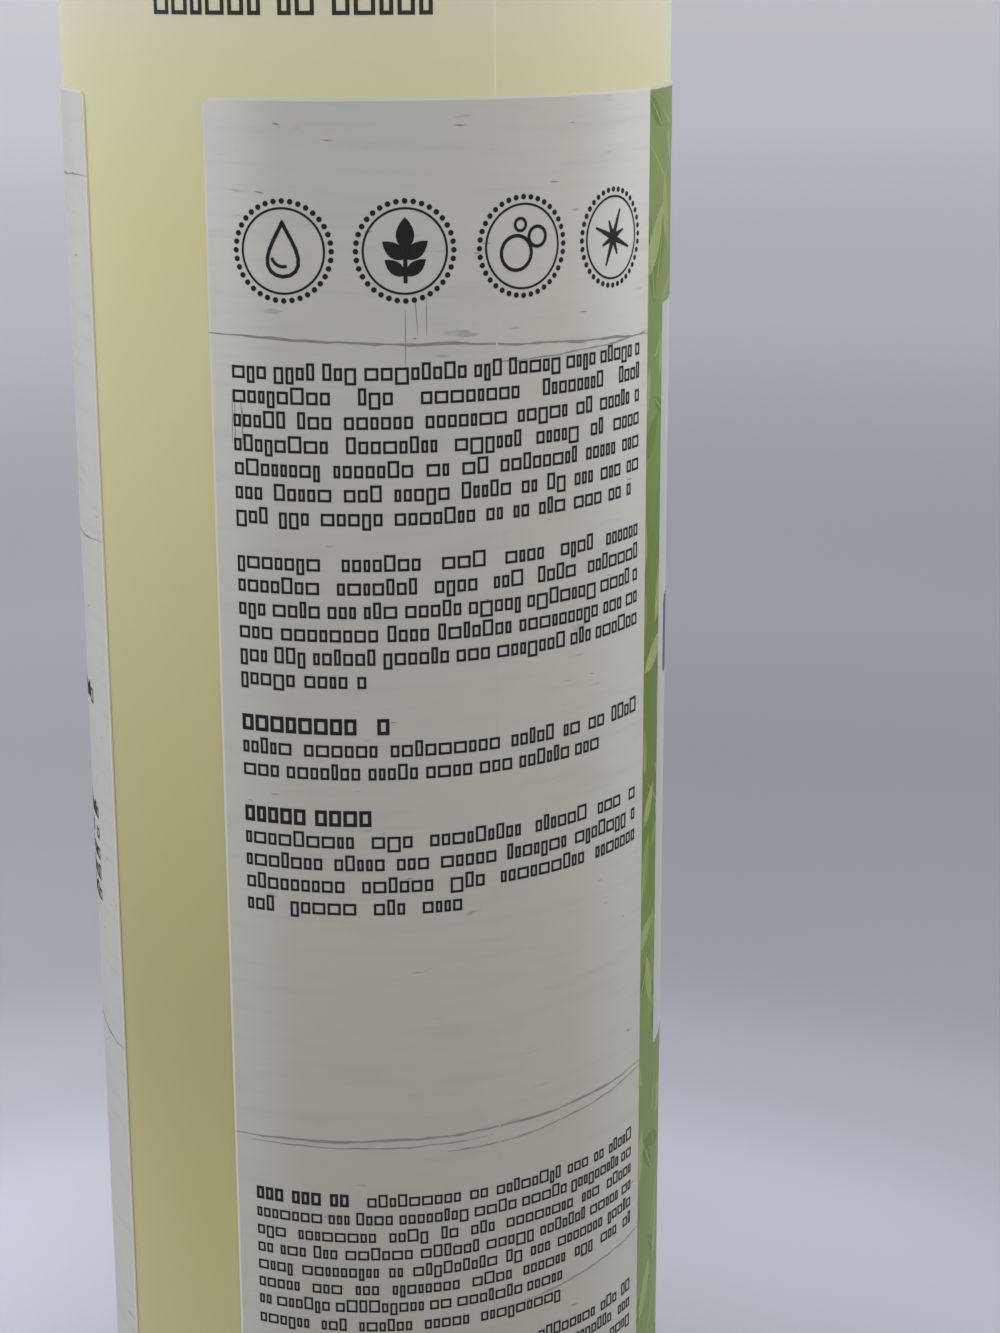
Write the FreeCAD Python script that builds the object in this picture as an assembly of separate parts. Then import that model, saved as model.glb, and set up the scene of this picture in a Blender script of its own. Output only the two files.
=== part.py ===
import FreeCAD, Part
import math
import os
from FreeCAD import Vector

# Dish soap bottle, full, with a push-pull dispensing cap. Sizes are in millimetres.
# +Z is up and the origin is the centre of the foot. The front of the label faces -Y.
# The pieces are a blown bottle, a wrap label with an open window strip at the back, the soap,
# a foam liner ring, a screw cap whose centre pin plugs the spout, and the spout that pulls up.

# Blown bottle body
body_radius = 36.5
body_wall = 0.9
base_wall = 1.3
heel_radius = 5.5
foot_inner_radius = 24.0
push_up_height = 3.5
push_up_radius = 14.0
push_up_blend = 9.0
foot_edge_blend = 1.6
shoulder_radius = 24.0
shoulder_slope = 20.0
neck_blend = 6.0
seam_width = 0.8
seam_height = 0.5
seam_length = 22.0
seam_angle = -111.8

# Wrap label, and the bare band of wall between its top edge and the shoulder
label_bottom = 12.0
label_height = 176.0
label_thickness = 0.15
label_gap = 0.1
label_corner = 1.2
window_angle = 32.8
bare_band = 15.0

# Soap: the distance from the rim of the neck down to its level
fill_depth = 40.3

# Neck finish for a 28 mm closure
neck_wall = 2.0
neck_radius = 13.2
bead_radius = 14.6
bead_height = 1.8
bead_bevel = 0.45
finish_height = 18.0
rim_bevel = 0.4
thread_root_radius = 12.5
thread_height = 1.2
thread_pitch = 4.233
thread_turns = 1.5
thread_drop = 3.0
thread_root_width = 2.3
thread_crest_width = 1.3
thread_run_out = 28.0

# Foam liner ring between the rim and the cap's deck
liner_thickness = 1.0
liner_bore_clearance = 0.1
liner_side_clearance = 0.6

# Screw cap
thread_clearance = 0.3
flank_clearance = 0.12
cap_thread_turns = 1.25
skirt_wall = 2.15
skirt_gap = 0.8
skirt_bevel = 0.35
deck_thickness = 2.0
deck_round = 1.6
deck_rise = 2.6
rib_count = 60
rib_depth = 0.4
rib_share = 0.4
plain_band = 1.2
post_radius = 6.0
post_wall = 1.6
post_height = 8.0
snap_bead = 0.35
snap_bead_height = 1.2
pin_radius = 1.6
pin_head_length = 2.4
pin_tip_bevel = 0.5
spoke_count = 3
spoke_width = 1.2
spoke_height = 2.6

# Pull-up spout
spout_travel = 5.0
sliding_clearance = 0.12
orifice_radius = 2.3
orifice_length = 1.8
orifice_bevel = 0.2
pin_clearance = 0.05
spout_base_radius = 9.0
spout_shoulder_radius = 8.5
spout_waist_radius = 5.9
spout_lip_radius = 7.8
spout_lip_height = 1.9
spout_lip_round = 0.7
spout_shoulder_round = 1.2
spout_waist_blend = 0.8
spout_edge_bevel = 0.35
nozzle_length = 6.2
seal_ring_wall = 0.9
seal_ring_clearance = 0.1
seal_ring_bevel = 0.3
cavity_gap = 0.6
spout_head_wall = 1.4

# Heights that follow from the sizes above
label_top = label_bottom + label_height
shoulder_start = label_top + bare_band
slope = math.radians(shoulder_slope)
shoulder_corner = shoulder_start + shoulder_radius * math.tan((math.pi / 2 - slope) / 2)
neck_corner = shoulder_corner + (body_radius - neck_radius) * math.tan(slope)
bead_bottom = neck_corner + neck_blend * math.tan((math.pi / 2 - slope) / 2) + bead_bevel
rim = bead_bottom + finish_height
bead_top = bead_bottom + bead_height
soap_level = rim - fill_depth
bore_radius = thread_root_radius - neck_wall
deck_underside = rim + liner_thickness
thread_crest_radius = thread_root_radius + thread_height

# Radii of the cap that follow from the neck
cap_bore_radius = thread_crest_radius + thread_clearance
skirt_radius = cap_bore_radius + skirt_wall
cap_thread_crest = thread_root_radius + thread_clearance
seat_height = deck_underside + deck_thickness + deck_rise
post_top = seat_height + post_height
post_bore = post_radius - post_wall
snap_radius = post_radius + snap_bead
catch_height = post_height - snap_bead_height - spout_travel
seal_ring_radius = post_bore - seal_ring_clearance
nozzle_bore = seal_ring_radius - seal_ring_wall
cavity_top = post_top + cavity_gap
spout_top = cavity_top + nozzle_length
orifice_bottom = spout_top - orifice_length


def point_on_turn(radius, degrees, height=0.0):
    """A point at an angle round the bottle, counted from the front (-Y) towards +X."""
    angle = math.radians(degrees)
    return Vector(radius * math.sin(angle), -radius * math.cos(angle), height)


def eased_corner(before, corner, after, easing):
    """The points of one eased corner: start, middle and end of an arc, or start and end."""
    if easing == 0:
        return [corner]
    back = (before - corner).normalize()
    ahead = (after - corner).normalize()
    if easing < 0:
        return [corner - back * easing, corner - ahead * easing]
    half = back.getAngle(ahead) / 2
    reach = easing / math.tan(half)
    middle = corner + (back + ahead).normalize() * (easing / math.sin(half) - easing)
    return [corner + back * reach, middle, corner + ahead * reach]


def eased_outline(corners):
    """A closed wire in the XZ plane through (radius, height, easing) corners.

    A positive easing is the radius of a round, and a negative one is the leg of a bevel.
    """
    points = [Vector(r, 0, z) for r, z, _ in corners]
    eased = []
    for i, (_, _, easing) in enumerate(corners):
        after = points[(i + 1) % len(points)]
        eased.append(eased_corner(points[i - 1], points[i], after, easing))
    edges = []
    for i, corner in enumerate(eased):
        if len(corner) == 3:
            edges.append(Part.Arc(*corner).toShape())
        if len(corner) == 2:
            edges.append(Part.makeLine(*corner))
        following = eased[(i + 1) % len(eased)][0]
        if corner[-1].distanceToPoint(following) > 1e-6:
            edges.append(Part.makeLine(corner[-1], following))
    return Part.Wire(edges)


def revolved(corners):
    """The solid of revolution about Z of an eased outline."""
    face = Part.Face(eased_outline(corners))
    return face.revolve(Vector(0, 0, 0), Vector(0, 0, 1), 360)


def thread_ridge(root, crest, root_width, crest_width, turns, bottom):
    """A helical ridge on the root radius whose ends run out into the wall."""
    side = 1 if crest > root else -1
    sink = 0.3
    flank = (root_width - crest_width) / 2 / abs(crest - root)
    deep = root - side * sink
    half_deep = root_width / 2 + flank * sink
    section = Part.makePolygon([
        Vector(deep, 0, -half_deep),
        Vector(crest, 0, -crest_width / 2),
        Vector(crest, 0, crest_width / 2),
        Vector(deep, 0, half_deep),
        Vector(deep, 0, -half_deep),
    ])
    spine = Part.makeHelix(thread_pitch, thread_pitch * turns, root)
    sweep = Part.BRepOffsetAPI.MakePipeShell(Part.Wire(spine.Edges))
    sweep.setFrenetMode(True)
    sweep.add(section)
    sweep.build()
    sweep.makeSolid()
    ridge = sweep.shape()
    for end, towards in ((0, 1), (turns, -1)):
        ridge = ridge.cut(run_out_tool(deep, crest, end, towards))
    ridge.translate(Vector(0, 0, bottom))
    return ridge


def run_out_tool(deep, crest, end, towards):
    """A box that planes one end of a ridge down to its root over the run-out angle."""
    side = 1 if crest > deep else -1
    slack = 0.05
    end_angle = 2 * math.pi * end
    run = towards * math.radians(thread_run_out)
    low = Vector(deep * math.cos(end_angle), deep * math.sin(end_angle), 0)
    far = crest + side * slack
    high = Vector(far * math.cos(end_angle + run), far * math.sin(end_angle + run), 0)
    along = (high - low).normalize()
    outward = Vector(low.x, low.y, 0).normalize() * side
    normal = (outward - along * outward.dot(along)).normalize()
    reach = 2.0
    low = low - along * reach
    high = high + along * slack
    depth = abs(crest - deep) + reach
    height = thread_root_width * 1.5
    corners = [low, high, high + normal * depth, low + normal * depth, low]
    middle = thread_pitch * (end + run / (4 * math.pi))
    base = Part.Face(Part.makePolygon(corners))
    tool = base.extrude(Vector(0, 0, height))
    tool.translate(Vector(0, 0, middle - height / 2))
    return tool


def inner_corners():
    """Corners of the bottle's inner surface, from the rim down to the axis."""
    drop = body_wall / math.cos(slope)
    inner_radius = body_radius - body_wall
    return [
        (bore_radius, shoulder_corner - drop + (body_radius - bore_radius) * math.tan(slope), neck_blend),
        (inner_radius, shoulder_corner - drop + body_wall * math.tan(slope), shoulder_radius - body_wall),
        (inner_radius, base_wall, heel_radius - body_wall),
        (foot_inner_radius, base_wall, foot_edge_blend),
        (push_up_radius, push_up_height + base_wall, push_up_blend),
        (0, push_up_height + base_wall, 0),
    ]


def bottle():
    """The blown bottle: body, shoulder, threaded neck and pushed-up base with its pinch seam."""
    outside = [
        (0, push_up_height, 0),
        (push_up_radius, push_up_height, push_up_blend),
        (foot_inner_radius, 0, foot_edge_blend),
        (body_radius, 0, heel_radius),
        (body_radius, shoulder_corner, shoulder_radius),
        (neck_radius, neck_corner, neck_blend),
        (neck_radius, bead_bottom, 0),
        (bead_radius, bead_bottom, -bead_bevel),
        (bead_radius, bead_top, -bead_bevel),
        (thread_root_radius, bead_top, 0),
        (thread_root_radius, rim, -rim_bevel),
        (bore_radius, rim, -rim_bevel),
    ]
    shell = revolved(outside + inner_corners())
    top_turn = rim - thread_drop
    ridge = thread_ridge(
        thread_root_radius,
        thread_crest_radius,
        thread_root_width,
        thread_crest_width,
        thread_turns,
        top_turn - thread_turns * thread_pitch,
    )
    seam = Part.makeBox(
        seam_length,
        seam_width,
        seam_height + base_wall / 2,
        Vector(-seam_length / 2, -seam_width / 2, push_up_height - seam_height),
    )
    seam.rotate(Vector(0, 0, 0), Vector(0, 0, 1), seam_angle - 90)
    return shell.fuse([ridge, seam]).removeSplitter()


def dish_soap():
    """The soap fills the bottle's inside up to its level in the shoulder."""
    cavity = revolved([(0, rim, 0), (bore_radius, rim, 0)] + inner_corners())
    return cavity.common(Part.makeCylinder(body_radius, soap_level))


def wrap_label():
    """The label goes round the wall from one side of the window strip to the other."""
    inner = body_radius + label_gap
    outer = inner + label_thickness
    section = Part.makePolygon([
        Vector(inner, 0, label_bottom),
        Vector(outer, 0, label_bottom),
        Vector(outer, 0, label_top),
        Vector(inner, 0, label_top),
        Vector(inner, 0, label_bottom),
    ])
    face = Part.Face(section)
    face.rotate(Vector(0, 0, 0), Vector(0, 0, 1), 90 + window_angle / 2)
    label = face.revolve(Vector(0, 0, 0), Vector(0, 0, 1), 360 - window_angle)
    corners = []
    for edge in label.Edges:
        if abs(edge.Length - label_thickness) < 1e-3:
            corners.append(edge)
    return label.makeFillet(label_corner, corners)


def cap_liner():
    """A flat foam ring that seals the rim against the cap's deck."""
    rim_centre = Vector(0, 0, rim)
    ring = Part.makeCylinder(cap_bore_radius - liner_side_clearance, liner_thickness, rim_centre)
    hole = Part.makeCylinder(bore_radius + liner_bore_clearance, liner_thickness, rim_centre)
    return ring.cut(hole)


def grip_grooves(bottom, top):
    """A tool whose inner face is the outline of the ribs round the cap's skirt."""
    step = 360 / rib_count
    land = step * rib_share
    flank = step * (1 - rib_share) / 3
    floor = skirt_radius - rib_depth
    points = []
    for i in range(rib_count):
        start = i * step
        points.append(point_on_turn(skirt_radius, start, bottom))
        points.append(point_on_turn(skirt_radius, start + land, bottom))
        points.append(point_on_turn(floor, start + land + flank, bottom))
        points.append(point_on_turn(floor, start + land + 2 * flank, bottom))
    ribs = Part.Face(Part.makePolygon(points + [points[0]]))
    around = Part.Face(Part.Wire(Part.makeCircle(skirt_radius * 1.2, Vector(0, 0, bottom))))
    return around.cut(ribs).extrude(Vector(0, 0, top - bottom))


def centre_pin():
    """The pin that plugs the spout's orifice, carried on spokes across the post's bore."""
    bottom = deck_underside + deck_thickness
    head = orifice_radius - pin_clearance
    head_bottom = spout_top - pin_head_length
    neck_in = head - pin_radius
    pin = revolved([
        (0, bottom, 0),
        (pin_radius, bottom, 0),
        (pin_radius, head_bottom - neck_in, 0),
        (head, head_bottom, 0),
        (head, spout_top, -pin_tip_bevel),
        (0, spout_top, 0),
    ])
    spokes = []
    for i in range(spoke_count):
        spoke = Part.makeBox(
            post_bore + post_wall / 2,
            spoke_width,
            spoke_height,
            Vector(0, -spoke_width / 2, bottom),
        )
        spoke.rotate(Vector(0, 0, 0), Vector(0, 0, 1), i * 360 / spoke_count)
        spokes.append(spoke)
    return pin.fuse(spokes)


def screw_cap():
    """The closure: ribbed skirt with its inner thread, domed deck, and the post for the spout."""
    skirt_bottom = bead_top + skirt_gap
    deck_edge = deck_underside + deck_thickness
    under_deck = bore_radius
    shell = revolved([
        (cap_bore_radius, skirt_bottom, -skirt_bevel),
        (skirt_radius, skirt_bottom, -skirt_bevel),
        (skirt_radius, deck_edge, deck_round),
        (spout_base_radius + deck_thickness, seat_height, deck_round),
        (post_radius, seat_height, 0),
        (post_radius, post_top - snap_bead_height, 0),
        (snap_radius, post_top - snap_bead_height, 0),
        (snap_radius, post_top - snap_bead_height / 2, 0),
        (post_radius - snap_bead, post_top, 0),
        (post_bore, post_top, 0),
        (post_bore, deck_edge, 0),
        (post_bore + deck_thickness, deck_edge, 0),
        (under_deck, deck_underside, 0),
        (cap_bore_radius, deck_underside, 0),
    ])
    flank_meeting = (thread_root_width + thread_crest_width) / 2
    thread_bottom = rim - thread_drop - thread_turns * thread_pitch
    ridge = thread_ridge(
        cap_bore_radius,
        cap_thread_crest,
        thread_root_width - flank_clearance,
        thread_crest_width - flank_clearance,
        cap_thread_turns,
        thread_bottom - flank_meeting,
    )
    grooves = grip_grooves(skirt_bottom + plain_band, deck_edge - deck_round - plain_band / 2)
    cap = shell.fuse([ridge, centre_pin()])
    return cap.cut(grooves).removeSplitter()


def pull_spout():
    """The spout slides on the post. Down, its orifice is plugged by the pin; up, soap can pass."""
    bore = post_radius + sliding_clearance
    cavity = snap_radius + sliding_clearance
    catch_top = seat_height + catch_height
    lip_bottom = spout_top - spout_lip_height
    waist_height = (cavity_top + spout_head_wall + lip_bottom) / 2
    return revolved([
        (bore, seat_height, 0),
        (spout_base_radius, seat_height, -spout_edge_bevel),
        (spout_shoulder_radius, cavity_top, spout_shoulder_round),
        (spout_waist_radius, cavity_top + spout_head_wall, spout_waist_blend),
        (spout_waist_radius, waist_height, spout_waist_blend),
        (spout_lip_radius, lip_bottom, -spout_edge_bevel),
        (spout_lip_radius, spout_top, spout_lip_round),
        (orifice_radius, spout_top, -orifice_bevel),
        (orifice_radius, orifice_bottom, 0),
        (nozzle_bore, orifice_bottom, 0),
        (nozzle_bore, seat_height + catch_height, 0),
        (seal_ring_radius, seat_height + catch_height, -seal_ring_bevel),
        (seal_ring_radius, cavity_top, 0),
        (cavity, cavity_top, 0),
        (cavity, catch_top, 0),
        (bore, catch_top, 0),
    ])


PIECES = {
    "bottle": bottle,
    "dish_soap": dish_soap,
    "wrap_label": wrap_label,
    "cap_liner": cap_liner,
    "screw_cap": screw_cap,
    "pull_spout": pull_spout,
}

os.makedirs("parts", exist_ok=True)
for name, make in PIECES.items():
    shape = make()
    shape.exportStep("parts/" + name + ".step")
    print(name, len(shape.Solids), "solid,", round(shape.Volume / 1000, 2), "ml")
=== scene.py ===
"""The finished look of a full dish soap bottle with a printed wrap label."""

import math
import random

import bmesh
import bpy
from mathutils import Matrix, Vector

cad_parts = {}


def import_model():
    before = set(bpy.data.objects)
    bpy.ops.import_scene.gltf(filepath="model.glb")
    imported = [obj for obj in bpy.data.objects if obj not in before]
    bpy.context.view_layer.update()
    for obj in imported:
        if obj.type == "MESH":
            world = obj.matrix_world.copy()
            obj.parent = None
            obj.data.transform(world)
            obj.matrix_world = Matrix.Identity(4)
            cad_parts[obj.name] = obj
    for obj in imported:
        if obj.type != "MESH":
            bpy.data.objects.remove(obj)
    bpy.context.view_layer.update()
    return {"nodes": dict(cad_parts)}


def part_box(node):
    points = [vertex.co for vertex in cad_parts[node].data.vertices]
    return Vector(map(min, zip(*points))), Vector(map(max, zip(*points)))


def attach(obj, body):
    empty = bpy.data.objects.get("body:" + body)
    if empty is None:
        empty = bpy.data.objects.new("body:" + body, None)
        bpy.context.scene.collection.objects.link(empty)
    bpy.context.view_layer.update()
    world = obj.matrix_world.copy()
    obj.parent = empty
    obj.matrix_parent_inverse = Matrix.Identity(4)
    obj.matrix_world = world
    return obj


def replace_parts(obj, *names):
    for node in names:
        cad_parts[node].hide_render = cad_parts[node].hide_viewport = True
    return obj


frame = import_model()

MM = 0.001


def outer_radius(node):
    """The largest distance of a node's points from the bottle's axis."""
    return max(math.hypot(v.co.x, v.co.y) for v in frame["nodes"][node].data.vertices)


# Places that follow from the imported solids
BODY_RADIUS = max(abs(c) for c in (*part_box("bottle")[0][:2], *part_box("bottle")[1][:2]))
LABEL_RADIUS = outer_radius("wrap_label")
LABEL_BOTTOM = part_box("wrap_label")[0].z
LABEL_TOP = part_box("wrap_label")[1].z
SOAP_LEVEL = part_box("dish_soap")[1].z

# The label's film
FILM_THICKNESS = 0.20 * MM
LABEL_CORNER = 1.2 * MM

# The label's layout: half angles in degrees from the front, heights in label radii from its top
LABEL_HALF = 163.6
FRONT_HALF = 71.7
PANEL_HALF = 62.5
PANEL_TOP = -0.693
PANEL_BOTTOM = -3.30

# The middle of the photographed side and the wall's parting lines, in degrees from the front
BACK_TURN = -134.0
PARTING_ANGLES = (-111.8, 68.2)

# Small print: the size that its boxes scale with, and the pitch of its lines in label radii
TEXT_SIZE = 1.0 * MM
TEXT_PITCH = 0.0745
FINE_SIZE = 0.86 * MM
FINE_PITCH = 0.0637

# Badges: the middle of their row in label radii, and the radius of one badge
BADGE_ROW = -0.445
BADGE_RADIUS = 4.65 * MM

# The plain dark band on the front panel, in label radii
BAND_TOP = -1.70
BAND_BOTTOM = -1.975

# Layers of print over the film, as depths under the label's outer radius
FILM_DEPTH = 0.030 * MM
LEAF_DEPTHS = (0.023 * MM, 0.017 * MM, 0.011 * MM, 0.005 * MM)
LEAF_STEP = 0.0007 * MM
INK_DEPTH = 0.0
PRINT_ROOT = 0.006 * MM

# Heights between which the full bottle's tint and its painted glow change, and how strong the
# painted glow is: emission that stands in for light shining through the wall and the soap
DEEP_TINT_SPAN = (0.085, 0.150)
PALE_TINT_SPAN = (0.172, 0.212)
GLOW_SPAN = (0.040, SOAP_LEVEL)
GLOW = 0.46
FOOT_GLOW_SPAN = (0.085, 0.045)
FOOT_GLOW = 0.13
LEVEL_SOFTNESS = 1.2 * MM

# The camera of the photograph, with its angles in degrees
PHOTO_WIDTH = 1000
PHOTO_HEIGHT = 1333
FOCAL_PIXELS = 2636.3
SENSOR_WIDTH = 36.0
CAMERA_DISTANCE = 8.883 * LABEL_RADIUS
CAMERA_HEIGHT = LABEL_TOP + 0.431 * LABEL_RADIUS
CAMERA_PAN = 2.762
CAMERA_TILT = 15.300
CAMERA_ROLL = 0.196


def linear(red, green, blue):
    """A colour with sRGB values of 0 to 255, as the linear values that shaders take."""
    values = []
    for value in (red, green, blue):
        c = value / 255
        values.append(c / 12.92 if c <= 0.04045 else ((c + 0.055) / 1.055) ** 2.4)
    return (*values, 1.0)


class Nodes:
    """A node tree under construction, with short calls for the nodes that it needs."""

    def __init__(self, tree):
        self.tree = tree

    def put(self, socket, value):
        """Links an output to a socket, or sets the socket to a plain value."""
        if isinstance(value, bpy.types.NodeSocket):
            self.tree.links.new(value, socket)
        elif value is not None:
            socket.default_value = value

    def node(self, kind, **settings):
        """A new node with some of its settings."""
        made = self.tree.nodes.new(kind)
        for key, value in settings.items():
            setattr(made, key, value)
        return made

    def math(self, operation, first, second=None, third=None):
        """The result of one operation on up to three values."""
        made = self.node("ShaderNodeMath", operation=operation)
        for socket, value in zip(made.inputs, (first, second, third)):
            self.put(socket, value)
        return made.outputs[0]

    def ramp(self, value, low, high):
        """A smooth step from 0 at low to 1 at high."""
        made = self.node("ShaderNodeMapRange", interpolation_type="SMOOTHSTEP")
        self.put(made.inputs["Value"], value)
        self.put(made.inputs["From Min"], low)
        self.put(made.inputs["From Max"], high)
        return made.outputs["Result"]

    def mix(self, share, first, second):
        """A colour between two colours."""
        made = self.node("ShaderNodeMix", data_type="RGBA")
        self.put(made.inputs[0], share)
        self.put(made.inputs[6], first)
        self.put(made.inputs[7], second)
        return made.outputs[2]

    def blend(self, share, amount, first, second):
        """A colour between two colours, by a share that is scaled by an amount."""
        return self.mix(self.math("MULTIPLY", share, amount), first, second)

    def split(self, place):
        """The three parts of a place or a direction."""
        made = self.node("ShaderNodeSeparateXYZ")
        self.put(made.inputs[0], place)
        return made.outputs[0], made.outputs[1], made.outputs[2]


class Shader(Nodes):
    """A material under construction."""

    def __init__(self, name, roughness=0.5, specular=0.5):
        self.material = bpy.data.materials.new(name)
        self.material.use_nodes = True
        super().__init__(self.material.node_tree)
        self.surface = self.tree.nodes["Principled BSDF"]
        self.surface.inputs["Roughness"].default_value = roughness
        self.surface.inputs["Specular IOR Level"].default_value = specular

    def noise(self, place, scale, detail=3.0, roughness=0.5):
        """Noise at a place, from about 0 to 1."""
        made = self.node("ShaderNodeTexNoise")
        self.put(made.inputs["Vector"], place)
        made.inputs["Scale"].default_value = scale
        made.inputs["Detail"].default_value = detail
        made.inputs["Roughness"].default_value = roughness
        return made.outputs["Fac"]

    def place(self):
        """The point on the object, in metres."""
        return self.node("ShaderNodeTexCoord").outputs["Object"]

    def stretched(self, place, x, y, z):
        """The place with each axis scaled, so that noise on it is drawn out."""
        made = self.node("ShaderNodeVectorMath", operation="MULTIPLY")
        self.put(made.inputs[0], place)
        made.inputs[1].default_value = (x, y, z)
        return made.outputs[0]

    def unrolled(self):
        """The angle from the front in degrees, the height, and the flat place (arc, height, 0)."""
        x, y, z = self.split(self.place())
        angle = self.math("ARCTAN2", x, self.math("MULTIPLY", y, -1.0))
        degrees = self.math("MULTIPLY", angle, 180 / math.pi)
        flat = self.node("ShaderNodeCombineXYZ")
        self.put(flat.inputs[0], self.math("MULTIPLY", angle, LABEL_RADIUS))
        self.put(flat.inputs[1], z)
        return degrees, z, flat.outputs[0]

    def bump(self, height, strength, distance):
        """Fine relief of the surface."""
        made = self.node("ShaderNodeBump")
        made.inputs["Strength"].default_value = strength
        made.inputs["Distance"].default_value = distance
        self.put(made.inputs["Height"], height)
        self.put(self.surface.inputs["Normal"], made.outputs[0])

    def colour(self, value):
        """The surface's own colour."""
        self.put(self.surface.inputs["Base Color"], value)

    def roughness(self, share, low, high):
        """Roughness between low and high by a share from 0 to 1."""
        spread = self.math("MULTIPLY_ADD", share, high - low, low)
        self.put(self.surface.inputs["Roughness"], spread)


# Materials

def between(shader, value, low, high, soft):
    """1 where a value lies from low to high, with soft edges."""
    rise = shader.ramp(value, low - soft, low + soft)
    fall = shader.ramp(value, high + soft, high - soft)
    return shader.math("MULTIPLY", rise, fall)


def milky_plastic():
    """Blown polyethylene: milky where it is empty and tinted by the soap behind it where full, with
    a painted glow there for light shining through.
    """
    shader = Shader("milky_plastic", specular=0.25)
    place = shader.place()
    height = shader.split(place)[2]
    clouds = shader.noise(place, 22.0, detail=2.0)
    deep = shader.ramp(height, *DEEP_TINT_SPAN)
    tint = shader.mix(deep, linear(172, 167, 114), linear(174, 170, 127))
    tint = shader.mix(shader.ramp(height, *PALE_TINT_SPAN), tint, linear(176, 173, 158))
    tint = shader.blend(clouds, 0.35, tint, linear(186, 182, 148))
    level = shader.ramp(height, SOAP_LEVEL - LEVEL_SOFTNESS, SOAP_LEVEL + LEVEL_SOFTNESS)
    degrees = shader.unrolled()[0]
    lines = [between(shader, degrees, a - 0.16, a + 0.16, 0.14) for a in PARTING_ANGLES]
    parting_ridge_and_highlight = shader.math("ADD", *lines)
    colour = shader.mix(level, tint, linear(204, 204, 197))
    # The parting lines are a ridge in the bump and a painted highlight: the colour is lighter along
    # them
    shader.colour(shader.blend(parting_ridge_and_highlight, 0.24, colour, linear(222, 221, 208)))
    surface = shader.surface
    surface.inputs["Subsurface Weight"].default_value = 0.35
    surface.inputs["Subsurface Radius"].default_value = (1.0, 0.92, 0.6)
    surface.inputs["Subsurface Scale"].default_value = 3.0 * MM
    # Painted glow: emission in the soap's tint, below the level and stronger near the foot, stands
    # in for light shining through the wall and the soap
    shader.put(surface.inputs["Emission Color"], tint)
    full = shader.math("SUBTRACT", 1.0, level)
    painted_glow = shader.math("MULTIPLY", shader.ramp(height, *GLOW_SPAN), GLOW)
    painted_glow = shader.math("MULTIPLY_ADD", shader.ramp(height, *FOOT_GLOW_SPAN), FOOT_GLOW, painted_glow)
    painted_glow = shader.math("MULTIPLY", painted_glow, full)
    shader.put(surface.inputs["Emission Strength"], painted_glow)
    grain = shader.noise(place, 900.0, detail=2.0)
    streaks = shader.noise(shader.stretched(place, 260.0, 260.0, 9.0), 1.0, detail=2.0)
    shader.roughness(shader.noise(place, 60.0), 0.34, 0.46)
    relief = shader.math("MULTIPLY_ADD", streaks, 0.5, grain)
    relief = shader.math("MULTIPLY_ADD", parting_ridge_and_highlight, 6.0, relief)
    shader.bump(relief, 0.12, 0.06 * MM)
    return shader.material


def soap_liquid():
    """Clear pale yellow soap."""
    shader = Shader("soap_liquid", roughness=0.06)
    clouds = shader.noise(shader.place(), 14.0, detail=1.0)
    shader.colour(shader.mix(clouds, linear(214, 206, 128), linear(222, 215, 146)))
    shader.surface.inputs["Transmission Weight"].default_value = 0.5
    shader.surface.inputs["IOR"].default_value = 1.38
    return shader.material


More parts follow.
